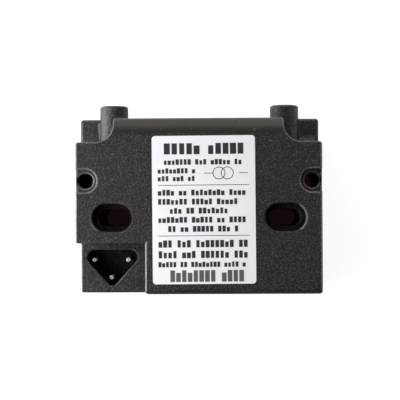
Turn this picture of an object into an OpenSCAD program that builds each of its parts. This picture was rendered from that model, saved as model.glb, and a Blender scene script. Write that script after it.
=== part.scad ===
// Ignition transformer for a gas or oil burner.
// A black moulded case stands open at the back, holds the circuit and the high-voltage coil, and is filled
// with resin. Millimetres. It lies on its mounting plane at z = 0, with the label facing up and the two
// high-voltage towers towards +Y. The origin is midway between the two round fixing holes.

/* [Housing] */
// Width of the housing
body_w = 90; // [84:0.5:98]
// Height of the housing from its bottom edge to its top edge, without the towers
body_h = 64.5; // [61:0.5:70]
// Depth of the housing from the mounting plane to the label face
body_d = 46; // [44:0.5:52]
// Thickness of the outer walls
wall = 2.2; // [1.8:0.1:2.6]
// Radius of the long rounded edge at the top of the label face
top_edge_r = 6; // [4:0.5:6.5]
// Radius of the long rounded edge at the bottom of the label face
bottom_edge_r = 2; // [1:0.5:3]
// Radius of the side edges of the label face
side_edge_r = 0.9; // [0.5:0.1:1.5]
// Radius of the upright corners
corner_r = 1.4; // [1:0.1:2]
// Height of the resin surface above the mounting plane
rim_h = 1; // [0.5:0.1:1.5]

/* [Shoulders] */
// Height of the two shoulders above the mounting plane
shoulder_z = 27; // [26:0.5:28]
// Width of each shoulder
shoulder_w = 13.9; // [13:0.1:15]
// Distance of the shoulder ledge below the top edge
ledge_drop = 9; // [8.5:0.1:10]
// Radius of the inner corner of each shoulder, seen from the front
notch_corner_r = 6.5; // [5:0.5:8]
// Radius of the shoulders' own edges
shoulder_edge_r = 1.5; // [1:0.1:2]
// Height of the shoulders above the top face between them
shoulder_rise = 0.5; // [0.3:0.1:0.8]
// Radius of the hollow at the foot of the shoulder ledge
cove_r = 3.5; // [2:0.5:4]

/* [High-voltage towers] */
// Distance of the tower axes from the side faces
tower_inset = 13; // [12:0.25:13.5]
// Height of the tower axes above the mounting plane
tower_z = 28; // [27:0.5:30]
// Outer radius of a tower
tower_r = 5.3; // [5.1:0.1:5.6]
// Length of tower that stands out beyond the top edge
tower_rise = 5.3; // [4:0.1:10]
// Radius of the bore that takes the ignition cable
bore_r = 3.7; // [3.5:0.05:3.8]
// Depth of the bore
bore_depth = 14; // [12:0.5:15]
// Thickness of the floor under the bore
bore_floor = 3; // [2.5:0.1:3.5]
// Radius of the flare where a tower meets its shoulder
flare_r = 1.25; // [0.8:0.05:1.4]

/* [Fixing] */
// Distance of the round fixing holes from the side faces
hole_inset = 3.7; // [3.6:0.05:4]
// Height of the round fixing holes above the bottom edge
hole_height = 41.4; // [41:0.1:42]
// Radius of a round fixing hole
hole_r = 2.7; // [2.5:0.05:2.75]
// Radius of the recess for a screw head round a fixing hole
hole_recess_r = 4.1; // [4:0.1:4.4]
// Depth of the recess round a fixing hole
hole_recess_depth = 2.8; // [2:0.1:4]
// Distance of the slots' centres from the side faces
slot_inset = 13.4; // [13:0.05:13.5]
// Distance of the slots below the round fixing holes
slot_drop = 13.5; // [13.3:0.1:13.8]
// Width of a slot
slot_w = 6.2; // [5.6:0.1:6.4]
// Length of a slot from end to end
slot_l = 11.5; // [10:0.1:12]
// Width of the recess in front of a slot
slot_recess_w = 10.2; // [9.8:0.1:10.5]
// Length of the recess in front of a slot
slot_recess_l = 14.8; // [14:0.1:15]
// Depth of the recess in front of a slot
slot_recess_depth = 11; // [8:0.5:13]
// Thickness of the wall round each slot and fixing hole
boss_wall = 2.2; // [1.8:0.1:2.4]

/* [Mains inlet] */
// Width of the mains inlet from the side face to the step
inlet_w = 25.5; // [25.2:0.1:26]
// Height of the mains inlet from the bottom edge to the step
inlet_h = 18.6; // [18.4:0.1:19]
// Distance that the inlet insert stands out below the bottom face
inlet_drop = 0.4; // [0.2:0.1:0.6]
// Thickness of the face of the inlet insert
plate_t = 2; // [1.6:0.1:2.5]
// Radius of the edges of the insert's face
plate_edge_r = 0.8; // [0.5:0.1:1.2]
// Gap between the insert and the walls that it fits between
insert_gap = 0.15; // [0.1:0.05:0.25]
// Thickness of the insert's side walls
insert_wall = 1.6; // [1.2:0.1:1.8]
// Height of the spigot that locates the insert in the housing
spigot_h = 2; // [1.5:0.1:2.5]
// Thickness of the spigot's wall, and of the rim that it stands under
spigot_t = 1.2; // [1:0.1:1.5]
// Distance of the socket's middle from the side face
socket_inset = 12; // [11.8:0.1:12.2]
// Distance from the bottom edge to the lower tip of the socket
socket_tip_y = 2.3; // [2.1:0.1:2.5]
// Width of the triangular socket
socket_w = 19; // [18.8:0.1:19.2]
// Height of the triangular socket
socket_h = 13.5; // [13.4:0.1:13.8]
// Radius of the two upper corners of the socket
socket_corner_r = 2.8; // [2.4:0.1:3.2]
// Radius of the lower tip of the socket
socket_tip_r = 1.9; // [1.8:0.1:2.2]
// Depth of the socket
socket_depth = 14; // [12:0.5:15]
// Thickness of the walls and the floor of the socket behind the face plate
socket_wall = 1.2; // [0.8:0.1:1.3]
// Radius of a contact pin
pin_r = 0.9; // [0.8:0.05:1]
// Distance of the lower pin from the side face
pin_inset = 11.4; // [11.2:0.1:11.6]
// Distance between the two upper pins
pin_spread = 12.9; // [12.4:0.1:13]
// Height of the upper pins above the bottom edge
pin_upper_y = 11.9; // [11.6:0.1:12.2]
// Height of the lower pin above the bottom edge
pin_lower_y = 5.2; // [5:0.1:5.4]
// Distance of the pin tips below the insert's face
pin_sink = 3; // [2:0.5:5]
// Radius of the hole in the tip of each pin
pin_hole_r = 0.35; // [0.2:0.05:0.4]
// Depth of the hole in the tip of each pin
pin_hole_depth = 1.2; // [0.6:0.1:2]
// Width of the chamfer round the tip of each pin
pin_chamfer = 0.25; // [0.1:0.05:0.4]
// Radius of each pin's neck, which passes through the socket's floor
pin_neck_r = 0.7; // [0.6:0.05:0.75]
// Radius of the collar that holds each pin under the socket's floor
pin_collar_r = 1.6; // [1.3:0.1:1.8]
// Thickness of that collar
pin_collar_t = 0.8; // [0.6:0.1:1]

/* [Label] */
// Distance of the label's sides from the side faces, before it is shifted
label_side = 26.25; // [25:0.25:28]
// Distance of the label's upper edge below the top edge
label_top = 6.85; // [6.6:0.05:9]
// Distance of the label's lower edge above the bottom edge
label_low = 3.8; // [3.4:0.1:6]
// Thickness of the label
label_t = 0.15; // [0.1:0.05:0.3]
// Radius of the label's corners
label_corner_r = 1.2; // [0.8:0.1:2]
// Distance that the label is shifted to the right of the housing's middle
label_x = 1.95; // [0:0.05:2]
// Turn of the label from square, in degrees
label_turn = 0.3; // [0:0.1:0.5]

/* [Circuit board] */
// Height of the board's rear face above the mounting plane
board_z = 5; // [4.5:0.5:6]
// Thickness of the board
board_t = 1.6; // [1.2:0.1:1.8]
// Distance of the sides of the board's upper part from the housing's side faces
board_inset = 25; // [24:0.5:26]
// Height of the edge where the board widens below the slots
board_step = 19; // [18.5:0.1:19.5]
// Gap between the board and the housing walls
board_gap = 0.6; // [0.4:0.1:1]
// Radius of the component leads
lead_r = 0.4; // [0.3:0.05:0.5]
// Length of lead that stands out behind the board
lead_tail = 1.4; // [1:0.1:2]

/* [Components] */
// Gap between neighbouring components
part_gap = 0.8; // [0.5:0.1:0.8]
// Distance that a component's leads run out before they bend down
lead_reach = 1.6; // [1.2:0.1:1.8]
// Height of the round components' bodies above the board
body_lift = 0.4; // [0.2:0.1:0.6]
// Radius of the bend in a component's lead
lead_bend_r = 0.8; // [0.6:0.1:1]
// Width of board kept at each end of the storage capacitor
storage_side = 7; // [6.5:0.5:9]
// Gap between the storage capacitor and the high-voltage coil
coil_gap = 5; // [4.5:0.5:8]
// Height of the storage capacitor
storage_h = 24; // [16:0.5:30]
// Length of the suppression capacitor
filter_l = 17; // [12:0.5:20]
// Width of the suppression capacitor
filter_w = 7; // [5:0.5:8]
// Height of the suppression capacitor
filter_h = 14; // [10:0.5:20]
// Radius of the edges of the capacitor cases
case_r = 0.8; // [0.5:0.1:1.2]
// Radius of the varistor disc
varistor_r = 5; // [4:0.5:6]
// Thickness of the varistor disc
varistor_t = 3.6; // [3:0.1:4]
// Radius of the fuse resistor's body
fuse_r = 2.1; // [1.5:0.1:2.2]
// Length of the fuse resistor's body
fuse_l = 11; // [8:0.5:12]
// Radius of a diode's body
diode_r = 1.35; // [1.2:0.05:1.4]
// Length of a diode's body
diode_l = 5.2; // [4.5:0.1:5.5]
// Number of rectifier diodes
diodes = 4; // [2:1:4]
// Radius of a gate resistor's body
resistor_r = 1.1; // [0.9:0.05:1.2]
// Length of a gate resistor's body
resistor_l = 6; // [5:0.1:6.5]
// Number of gate resistors
resistors = 2; // [1:1:2]
// Width of the thyristor's moulded body
thyristor_w = 10; // [9:0.1:10.4]
// Thickness of the thyristor's moulded body
thyristor_t = 3.2; // [2.8:0.1:3.4]
// Height of the thyristor's moulded body
thyristor_h = 9.2; // [8.5:0.1:10]
// Height of the thyristor's moulded body above the board
thyristor_lift = 3; // [2:0.1:5]
// Thickness of the thyristor's metal tab
tab_t = 1.3; // [1:0.1:1.5]
// Height of the tab above the thyristor's moulded body
tab_rise = 6.2; // [5.5:0.1:7]
// Radius of the hole in the tab
tab_hole_r = 1.8; // [1.6:0.1:1.9]
// Outer radius of the choke's flanges
choke_r = 6; // [5:0.1:7]
// Radius of the choke's core between its flanges
choke_core_r = 2.6; // [2:0.1:3.5]
// Height of the choke
choke_h = 13; // [10:0.5:16]
// Thickness of the choke's flanges
choke_flange_t = 1.6; // [1.2:0.1:2]

/* [High-voltage coil] */
// Distance of the coil's axis below the top edge
coil_drop = 14.9; // [14.5:0.1:15.1]
// Height of the coil's axis above the mounting plane
coil_z = 27; // [26.5:0.5:28]
// Distance of the ends of the coil former from the tower axes
coil_end = 7.5; // [7.25:0.25:9]
// Outer radius of the coil former's flanges
former_r = 10.8; // [10.4:0.1:11]
// Radius of the ferrite rod
rod_r = 4; // [3.8:0.1:4.2]
// Thickness of the tube of the coil former
former_wall = 1.1; // [1:0.1:1.2]
// Thickness of each flange of the coil former
flange_t = 1; // [0.8:0.1:1.2]
// Width of the middle chamber, which holds the primary winding
primary_w = 9; // [8:0.5:10]
// Number of winding chambers on each side of the middle chamber
chambers = 4; // [3:1:5]
// Radial thickness of the primary winding
primary_t = 2; // [1.5:0.1:2.5]
// Radial thickness of the secondary windings
secondary_t = 4.6; // [4:0.1:4.8]

/* [High-voltage contacts and leads] */
// Outer radius of a brass contact
contact_r = 2.9; // [2.7:0.05:3]
// Radius of the hole that takes the cable's plug pin
contact_hole_r = 2; // [1.9:0.05:2.1]
// Depth of the hole in a brass contact
contact_hole_depth = 8; // [7:0.5:8.5]
// Length of a brass contact
contact_l = 10.5; // [10:0.5:11]
// Radius of the collar that locks a contact under the tower's floor
collar_r = 3.8; // [3.6:0.1:4]
// Thickness of that collar
collar_t = 1.2; // [1:0.1:1.5]
// Radius of an insulated high-voltage lead
hv_lead_r = 1.1; // [1:0.05:1.2]
// Radius of the bends in the high-voltage leads
bend_r = 2.4; // [2.2:0.1:2.8]
// Straight length of lead between that bend and the contact
hv_lead_drop = 1; // [0.5:0.1:2]
// Radius of a primary or centre-tap lead
wire_r = 0.6; // [0.4:0.05:0.6]
// Radius of the bend in a primary or centre-tap lead
wire_bend_r = 1.5; // [1:0.1:2]
// Distance between the two primary leads
primary_lead_gap = 5; // [3:0.5:6]
// Gap between these leads and the storage capacitor
wire_gap = 0.3; // [0.2:0.1:0.5]
// Distance of these leads from the upper edge of the board
wire_inset = 1.3; // [1.2:0.1:1.4]

/* [Hidden] */
$fn = 64;
// How far a cutting shape runs past the surface that it cuts
past = 1;

// Places in the housing's outline
side_x = body_w / 2;
bottom_y = -hole_height;
top_y = bottom_y + body_h;
shoulder_y = top_y + shoulder_rise;
ledge_y = top_y - ledge_drop;
notch_x = side_x - shoulder_w;
step_x = inlet_w - side_x;
step_y = bottom_y + inlet_h;

// Places along the towers
tower_x = side_x - tower_inset;
tower_top_y = top_y + tower_rise;
bore_floor_y = tower_top_y - bore_depth;
tower_base_y = bore_floor_y - bore_floor;

// Places round the slots
slot_x = side_x - slot_inset;
slot_y = -slot_drop;
slot_recess_z = body_d - slot_recess_depth;
hole_x = side_x - hole_inset;
hole_recess_z = body_d - hole_recess_depth;

// Places in the mains inlet, whose face lies level with the shoulders
face_z = shoulder_z;
socket_floor_z = face_z - socket_depth;
seat_z = socket_floor_z - socket_wall;
socket_x = socket_inset - side_x;
socket_bottom_y = bottom_y + socket_tip_y;
socket_top_y = socket_bottom_y + socket_h;
pin_x = pin_inset - side_x;
pin_tip_z = face_z - pin_sink;
board_top_z = board_z + board_t;
tail_z = board_z - lead_tail;
insert_x = step_x - insert_gap;
insert_y = step_y - insert_gap;

// Size of the label
label_w = body_w - 2 * label_side;
label_h = body_h - label_top - label_low;

// Places in the high-voltage coil
coil_axis_y = top_y - coil_drop;
coil_l = 2 * (tower_x - coil_end);
tube_r = rod_r + former_wall;
flanges = 2 * (chambers + 1);
chamber_w = (coil_l - primary_w - flanges * flange_t) / (2 * chambers);
tap_x = primary_w / 2 + flange_t + chamber_w / 2;
contact_base_y = bore_floor_y - contact_l;
hv_lead_y = contact_base_y - hv_lead_drop - bend_r;

// Places on the circuit board
board_x = side_x - wall - board_gap;
board_bottom_y = bottom_y + wall + board_gap;
board_step_y = bottom_y + board_step;
board_neck_x = side_x - board_inset;
fuse_reach = fuse_l / 2 + lead_reach;
fuse_x = step_x + part_gap + fuse_reach;
fuse_y = board_bottom_y + part_gap + fuse_r;
diode_reach = diode_l / 2 + lead_reach;
diode_pitch = 2 * diode_r + part_gap + lead_r;
diode_x = step_x + part_gap + diode_r;
diode_y = board_step_y - part_gap - lead_r - diode_reach;
filter_x = diode_x + (diodes - 1) * diode_pitch + diode_r + part_gap + filter_l / 2;
filter_y = board_step_y - part_gap - filter_w / 2;
varistor_x = fuse_x + fuse_reach + lead_r + part_gap + varistor_r;
varistor_y = board_bottom_y + part_gap + varistor_t / 2;
choke_x = filter_x + filter_l / 2 + part_gap + choke_r;
choke_y = (board_bottom_y + board_step_y) / 2;
storage_l = 2 * (board_neck_x - storage_side);
storage_low_y = board_step_y + part_gap;
storage_high_y = coil_axis_y - former_r - coil_gap;
storage_y = (storage_low_y + storage_high_y) / 2;
thyristor_x = storage_l / 2 + part_gap + thyristor_t / 2;
resistor_pitch = 2 * resistor_r + part_gap;
resistor_x = -storage_l / 2 - part_gap - resistor_r;
wire_y = storage_high_y + wire_gap + wire_r;
board_top_y = wire_y + wire_inset;

// Outlines, in their own plane

// A rectangle from the origin, with the radii of its corners given from the lower left, counterclockwise
module outline(w, h, radii) {
    difference() {
        square([w, h]);
        for (i = [0:3]) {
            sx = i == 1 || i == 2 ? 1 : -1;
            sy = i >= 2 ? 1 : -1;
            r = radii[i];
            if (r > 0)
                translate([sx > 0 ? w - r : r, sy > 0 ? h - r : r])
                    scale([sx, sy])
                        difference() {
                            square(r + past);
                            circle(r);
                        }
        }
    }
}

// A slot of length l from end to end and width w, along x, centred
module slot_outline(l, w) {
    square([l - w, w], center = true);
    for (s = [-1, 1])
        translate([s * (l - w) / 2, 0]) circle(w / 2);
}

// The triangular mains socket, point down, grown by g all round
module socket_outline(g) {
    hull() {
        for (s = [-1, 1])
            translate([socket_x + s * (socket_w / 2 - socket_corner_r), socket_top_y - socket_corner_r])
                circle(socket_corner_r + g);
        translate([socket_x, socket_bottom_y + socket_tip_r]) circle(socket_tip_r + g);
    }
}

// The region beyond x and above y, with its inner corner rounded
module notch_outline(x, y, r) {
    translate([x + r, y]) square([body_w, body_h]);
    translate([x, y + r]) square([body_w, body_h]);
    translate([x + r, y + r]) circle(r);
}

// Solids that several pieces share

// A block between two corners, standing on z = 0. Its upright corners, given from the lower left, and the
// edges of its front face, at the sides, the bottom and the top, are rounded.
module block(x0, x1, y0, y1, h, corners, side_r, low_r, high_r) {
    w = x1 - x0;
    d = y1 - y0;
    translate([x0, y0, 0])
        intersection() {
            linear_extrude(h) outline(w, d, corners);
            translate([0, d, 0]) rotate([90, 0, 0]) linear_extrude(d) outline(w, h, [0, 0, side_r, side_r]);
            rotate([90, 0, 90]) linear_extrude(w) outline(d, h, [0, 0, high_r, low_r]);
        }
}

// A box from (x0, y0) to (x1, y1), between two heights
module box(x0, x1, y0, y1, z0, z1) {
    translate([x0, y0, z0]) cube([x1 - x0, y1 - y0, z1 - z0]);
}

// Copies its child, drawn on the right, to the left as well
module both_sides() {
    children();
    mirror([1, 0, 0]) children();
}

// A round bar along +Y from y0 to y1
module bar_y(x, z, r, y0, y1) {
    translate([x, y0, z]) rotate([-90, 0, 0]) cylinder(r = r, h = y1 - y0);
}

// A wire that runs along +X from the origin, bends and rises to height h at x = l
module bent_wire(l, h, r, bend) {
    rotate([0, 90, 0]) cylinder(r = r, h = l - bend);
    translate([l - bend, 0, bend])
        rotate([90, 0, 0]) rotate([0, 0, -90])
            rotate_extrude(angle = 90) translate([bend, 0]) circle(r);
    translate([l, 0, bend]) cylinder(r = r, h = h - bend);
}

// Housing

// The full-depth body, with square notches at the two top corners
module full_depth_body() {
    difference() {
        union() {
            block(-side_x, side_x, step_y, top_y, body_d, [corner_r, 0, 0, 0],
                  side_edge_r, side_edge_r, top_edge_r);
            block(step_x, side_x, bottom_y, top_y, body_d, [corner_r, corner_r, 0, 0],
                  side_edge_r, bottom_edge_r, top_edge_r);
        }
        both_sides() {
            translate([0, 0, -past])
                linear_extrude(body_d + 2 * past) notch_outline(notch_x, ledge_y, notch_corner_r);
            translate([side_x - corner_r, ledge_y - corner_r, -past])
                linear_extrude(body_d + 2 * past)
                    difference() {
                        square(corner_r + past);
                        circle(corner_r);
                    }
        }
    }
}

// One shoulder, with the hollow at the foot of its ledge
module shoulder() {
    block(notch_x - shoulder_edge_r, side_x, 0, shoulder_y, shoulder_z, [0, 0, corner_r, 0],
          shoulder_edge_r, 0, shoulder_edge_r);
    translate([0, ledge_y, shoulder_z])
        rotate([90, 0, 90])
            linear_extrude(side_x - shoulder_edge_r)
                difference() {
                    translate([-past, -past]) square(cove_r + past);
                    translate([cove_r, cove_r]) circle(cove_r);
                }
}

// The base that carries the mains inlet insert
module inlet_base() {
    block(-side_x, 0, bottom_y, 0, seat_z, [corner_r, 0, 0, 0], 0, 0, 0);
}

// One tower, solid, from the floor under its bore to its mouth
module tower() {
    bar_y(tower_x, tower_z, tower_r, tower_base_y, tower_top_y);
}

// The flare round a tower where it leaves a face at height y
module tower_flare(y) {
    hollow_r = tower_r + flare_r;
    translate([tower_x, y, tower_z])
        rotate([-90, 0, 0])
            rotate_extrude()
                difference() {
                    translate([0, -past]) square([hollow_r, flare_r + past]);
                    translate([hollow_r, flare_r]) circle(flare_r);
                }
}

// The foot of a tower: its flares on the top face and on the shoulder, and the hollow along the shoulder
module tower_foot() {
    hollow_r = tower_r + flare_r;
    hollow_z = shoulder_z + flare_r;
    hollow_x = tower_x + sqrt(hollow_r * hollow_r - (hollow_z - tower_z) * (hollow_z - tower_z));
    intersection() {
        tower_flare(top_y);
        cube([notch_x, tower_top_y, body_d]);
    }
    intersection() {
        tower_flare(shoulder_y);
        translate([notch_x - shoulder_edge_r, 0, 0])
            cube([shoulder_w, tower_top_y, shoulder_z - shoulder_edge_r]);
    }
    translate([0, shoulder_y - shoulder_edge_r, 0])
        rotate([90, 0, 0])
            linear_extrude(shoulder_y - shoulder_edge_r - ledge_y)
                difference() {
                    translate([tower_x, shoulder_z - past])
                        square([hollow_x - tower_x, hollow_z + past - shoulder_z]);
                    translate([hollow_x, hollow_z]) circle(flare_r);
                }
}

// Everything inside the housing's outer surface, before it is hollowed
module housing_outside() {
    full_depth_body();
    both_sides() {
        shoulder();
        tower();
        tower_foot();
    }
    inlet_base();
}

// The hollow of the housing, open at the back
module hollow() {
    difference() {
        translate([0, 0, -past])
            block(wall - side_x, side_x - wall, bottom_y + wall, top_y - wall, body_d - wall + past,
                  [0, 0, 0, 0], 0, 0, top_edge_r - wall);
        both_sides() {
            translate([0, 0, shoulder_z - wall])
                linear_extrude(body_d)
                    notch_outline(notch_x - wall, ledge_y - wall, notch_corner_r + wall);
            tower();
        }
        translate([-body_w, bottom_y, seat_z - spigot_h])
            cube([body_w + step_x + wall, inlet_h + wall, body_d]);
    }
}

// The hollow of the inlet's base, up to height z1
module inlet_well(z1) {
    box(wall - side_x, step_x, bottom_y + wall, step_y, -past, z1);
}

// The solid columns round the slots and the round fixing holes
module bosses() {
    both_sides() {
        translate([slot_x, slot_y, 0])
            linear_extrude(body_d - past) slot_outline(slot_l + 2 * boss_wall, slot_w + 2 * boss_wall);
        translate([slot_x, slot_y, slot_recess_z - boss_wall])
            linear_extrude(slot_recess_depth)
                slot_outline(slot_recess_l + 2 * boss_wall, slot_recess_w + 2 * boss_wall);
        translate([hole_x, 0, 0]) cylinder(r = hole_r + boss_wall, h = body_d - past);
        translate([hole_x, 0, hole_recess_z - boss_wall])
            cylinder(r = hole_recess_r + boss_wall, h = hole_recess_depth);
    }
}

// The slots, fixing holes and their recesses
module fixing_cuts() {
    both_sides() {
        translate([slot_x, slot_y, -past])
            linear_extrude(body_d + 2 * past) slot_outline(slot_l, slot_w);
        translate([slot_x, slot_y, slot_recess_z])
            linear_extrude(body_d) slot_outline(slot_recess_l, slot_recess_w);
        translate([hole_x, 0, -past]) cylinder(r = hole_r, h = body_d + 2 * past);
        translate([hole_x, 0, hole_recess_z])
            linear_extrude(body_d) {
                circle(hole_recess_r);
                translate([0, -hole_recess_r]) square([body_w, 2 * hole_recess_r]);
            }
    }
}

// The bore of one tower, with the hole through its floor for the contact
module tower_bore() {
    bar_y(tower_x, tower_z, bore_r, bore_floor_y, tower_top_y + past);
    bar_y(tower_x, tower_z, contact_r, tower_base_y - past, bore_floor_y + past);
}

module housing() {
    color("#2b2a2c")
        difference() {
            union() {
                difference() {
                    housing_outside();
                    hollow();
                    inlet_well(seat_z + past);
                }
                intersection() {
                    bosses();
                    block(-side_x, side_x, bottom_y, top_y, body_d, [0, 0, 0, 0], 0, 0, 0);
                }
            }
            fixing_cuts();
            both_sides() tower_bore();
        }
}

// Mains inlet

// The space inside the insert, round its socket, which the resin fills
module insert_space() {
    inner = wall + insert_gap + spigot_t;
    difference() {
        union() {
            box(insert_wall - side_x, insert_x - insert_wall, bottom_y + insert_wall, insert_y - insert_wall,
                seat_z + spigot_t, face_z - plate_t);
            box(inner - side_x, insert_x - spigot_t, bottom_y + inner, insert_y - spigot_t,
                seat_z - spigot_h - past, seat_z + spigot_t);
        }
        socket_well();
    }
}

// The socket's own walls and floor
module socket_well() {
    translate([0, 0, seat_z])
        linear_extrude(face_z - seat_z - plate_edge_r) socket_outline(socket_wall);
}

// The insert before its pin holes are made
module insert_body() {
    difference() {
        union() {
            difference() {
                union() {
                    translate([0, 0, seat_z])
                        block(-side_x, insert_x, bottom_y - inlet_drop, insert_y, face_z - seat_z,
                              [corner_r, 0, 0, 0], plate_edge_r, plate_edge_r, plate_edge_r);
                    box(wall + insert_gap - side_x, insert_x, bottom_y + wall + insert_gap, insert_y,
                        seat_z - spigot_h, seat_z + past);
                }
                insert_space();
            }
            socket_well();
        }
        translate([0, 0, socket_floor_z])
            linear_extrude(socket_depth + past) socket_outline(0);
    }
}

module inlet_insert() {
    color("#2b2a2c")
        difference() {
            insert_body();
            all_pins();
        }
}

// A contact pin: a turned rod that stands on the socket's floor, with a neck through the floor, a collar
// under it and a small hole in the tip
module contact_pin(x, y) {
    translate([x, y, 0])
        rotate_extrude()
            polygon([
                [0, tail_z],
                [pin_r, tail_z],
                [pin_r, seat_z - pin_collar_t],
                [pin_collar_r, seat_z - pin_collar_t],
                [pin_collar_r, seat_z],
                [pin_neck_r, seat_z],
                [pin_neck_r, socket_floor_z],
                [pin_r, socket_floor_z],
                [pin_r, pin_tip_z - pin_chamfer],
                [pin_r - pin_chamfer, pin_tip_z],
                [pin_hole_r, pin_tip_z],
                [pin_hole_r, pin_tip_z - pin_hole_depth],
                [0, pin_tip_z - pin_hole_depth - pin_hole_r]
            ]);
}

module line_pin() {
    color("#d9d4c8") contact_pin(pin_x - pin_spread / 2, bottom_y + pin_upper_y);
}

module neutral_pin() {
    color("#d9d4c8") contact_pin(pin_x + pin_spread / 2, bottom_y + pin_upper_y);
}

module earth_pin() {
    color("#d9d4c8") contact_pin(pin_x, bottom_y + pin_lower_y);
}

module all_pins() {
    line_pin();
    neutral_pin();
    earth_pin();
}

// Label

module rating_label() {
    color("#eeeef6")
        translate([label_x, bottom_y + label_low + label_h / 2, body_d])
            rotate([0, 0, label_turn])
                translate([-label_w / 2, -label_h / 2])
                    linear_extrude(label_t)
                        outline(label_w, label_h,
                                [label_corner_r, label_corner_r, label_corner_r, label_corner_r]);
}

// Resin

module potting_resin() {
    color("#3a3330")
        difference() {
            union() {
                intersection() {
                    union() {
                        hollow();
                        inlet_well(seat_z);
                    }
                    box(-side_x, side_x, bottom_y, top_y, rim_h, body_d);
                }
                insert_space();
            }
            bosses();
            insert_body();
            all_pins();
            board_plate();
            board_components();
            choke_turns();
            coil_body();
            both_sides() contact_body();
            leads();
        }
}

// Circuit board and its components

// The board before its holes are drilled
module board_plate() {
    box(-board_x, board_x, board_bottom_y, board_step_y, board_z, board_top_z);
    box(-board_neck_x, board_neck_x, board_bottom_y, board_top_y, board_z, board_top_z);
}

module circuit_board() {
    color("#2f6b3c")
        difference() {
            board_plate();
            all_pins();
            board_components();
            leads();
        }
}

// A straight lead down through the board from height z
module lead_down(x, y, z) {
    translate([x, y, tail_z]) cylinder(r = lead_r, h = z - tail_z);
}

// A moulded capacitor case of size l by w by h on the board, with two leads
module capacitor(x, y, l, w, h) {
    translate([0, 0, board_top_z])
        block(x - l / 2, x + l / 2, y - w / 2, y + w / 2, h,
              [case_r, case_r, case_r, case_r], case_r, case_r, case_r);
    for (s = [-1, 1])
        lead_down(x + s * (l / 2 - 2 * case_r), y, board_top_z);
}

module storage_capacitor() {
    color("#2d5fa8") capacitor(0, storage_y, storage_l, storage_high_y - storage_low_y, storage_h);
}

module suppression_capacitor() {
    color("#c9a23a") capacitor(filter_x, filter_y, filter_l, filter_w, filter_h);
}

module varistor() {
    disc_z = board_top_z + part_gap + varistor_r;
    color("#1f5f8f") {
        bar_y(varistor_x, disc_z, varistor_r, varistor_y - varistor_t / 2, varistor_y + varistor_t / 2);
        for (s = [-1, 1])
            lead_down(varistor_x + s * varistor_r / 2, varistor_y, disc_z - varistor_r / 2);
    }
}

// A round component of radius r and length l that lies along x, with a bent lead at each end
module axial(r, l) {
    z = board_top_z + body_lift + r;
    translate([-l / 2, 0, z]) rotate([0, 90, 0]) cylinder(r = r, h = l);
    both_sides()
        translate([l / 2, 0, z])
            mirror([0, 0, 1]) bent_wire(lead_reach, z - tail_z, lead_r, lead_bend_r);
}

module fuse_resistor() {
    color("#7fa08a") translate([fuse_x, fuse_y, 0]) axial(fuse_r, fuse_l);
}

module rectifier_diodes() {
    color("#26262a")
        for (i = [0:diodes - 1])
            translate([diode_x + i * diode_pitch, diode_y, 0]) rotate([0, 0, 90]) axial(diode_r, diode_l);
}

module gate_resistors() {
    color("#c8b48a")
        for (i = [0:resistors - 1])
            translate([resistor_x - i * resistor_pitch, storage_y, 0])
                rotate([0, 0, 90]) axial(resistor_r, resistor_l);
}

// A thyristor that stands on three leads, with its metal tab on the side away from the storage capacitor
module thyristor() {
    foot_z = board_top_z + thyristor_lift;
    tab_x = thyristor_x + thyristor_t / 2;
    tab_top_z = foot_z + thyristor_h + tab_rise;
    color("#303034") {
        box(thyristor_x - thyristor_t / 2, tab_x, storage_y - thyristor_w / 2, storage_y + thyristor_w / 2,
            foot_z, foot_z + thyristor_h);
        difference() {
            box(tab_x, tab_x + tab_t, storage_y - thyristor_w / 2, storage_y + thyristor_w / 2,
                foot_z, tab_top_z);
            translate([tab_x - past, storage_y, tab_top_z - tab_rise / 2])
                rotate([0, 90, 0]) cylinder(r = tab_hole_r, h = tab_t + 2 * past);
        }
        for (i = [-1:1])
            lead_down(thyristor_x, storage_y + i * thyristor_w / 4, foot_z);
    }
}

module choke_core() {
    color("#4b4a48") {
        translate([choke_x, choke_y, board_top_z])
            rotate_extrude()
                polygon([
                    [0, 0],
                    [choke_r, 0],
                    [choke_r, choke_flange_t],
                    [choke_core_r, choke_flange_t],
                    [choke_core_r, choke_h - choke_flange_t],
                    [choke_r, choke_h - choke_flange_t],
                    [choke_r, choke_h],
                    [0, choke_h]
                ]);
        for (s = [-1, 1])
            lead_down(choke_x + s * choke_r / 2, choke_y, board_top_z);
    }
}

// The cylinder that the choke's turns fill, with the core inside it
module choke_turns() {
    translate([choke_x, choke_y, board_top_z + choke_flange_t])
        cylinder(r = choke_r - choke_flange_t / 2, h = choke_h - 2 * choke_flange_t);
}

module choke_winding() {
    color("#b0642c")
        difference() {
            choke_turns();
            translate([choke_x, choke_y, board_top_z]) cylinder(r = choke_core_r, h = choke_h);
        }
}

module board_components() {
    storage_capacitor();
    suppression_capacitor();
    varistor();
    fuse_resistor();
    rectifier_diodes();
    gate_resistors();
    thyristor();
    choke_core();
}

// High-voltage coil, whose axis runs along x between the towers

// A disc of length l and radius r on the coil's axis, from x = x0
module coil_disc(x0, l, r) {
    translate([x0, coil_axis_y, coil_z]) rotate([0, 90, 0]) cylinder(r = r, h = l);
}

// A ring round the coil's axis from x = x0, of the given length and radii
module coil_ring(x0, l, inner_r, outer_r) {
    difference() {
        coil_disc(x0, l, outer_r);
        coil_disc(x0 - past, l + 2 * past, inner_r);
    }
}

// Where flange i starts, counted outwards from the middle chamber
function flange_x(i) = primary_w / 2 + i * (flange_t + chamber_w);

module ferrite_rod() {
    color("#3c3b3a") coil_disc(-coil_l / 2, coil_l, rod_r);
}

module coil_former() {
    color("#c9c4b4") {
        coil_ring(-coil_l / 2, coil_l, rod_r, tube_r);
        both_sides()
            for (i = [0:chambers])
                coil_ring(flange_x(i), flange_t, rod_r, former_r);
    }
}

module primary_winding() {
    color("#b0642c") coil_ring(-primary_w / 2, primary_w, tube_r, tube_r + primary_t);
}

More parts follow.
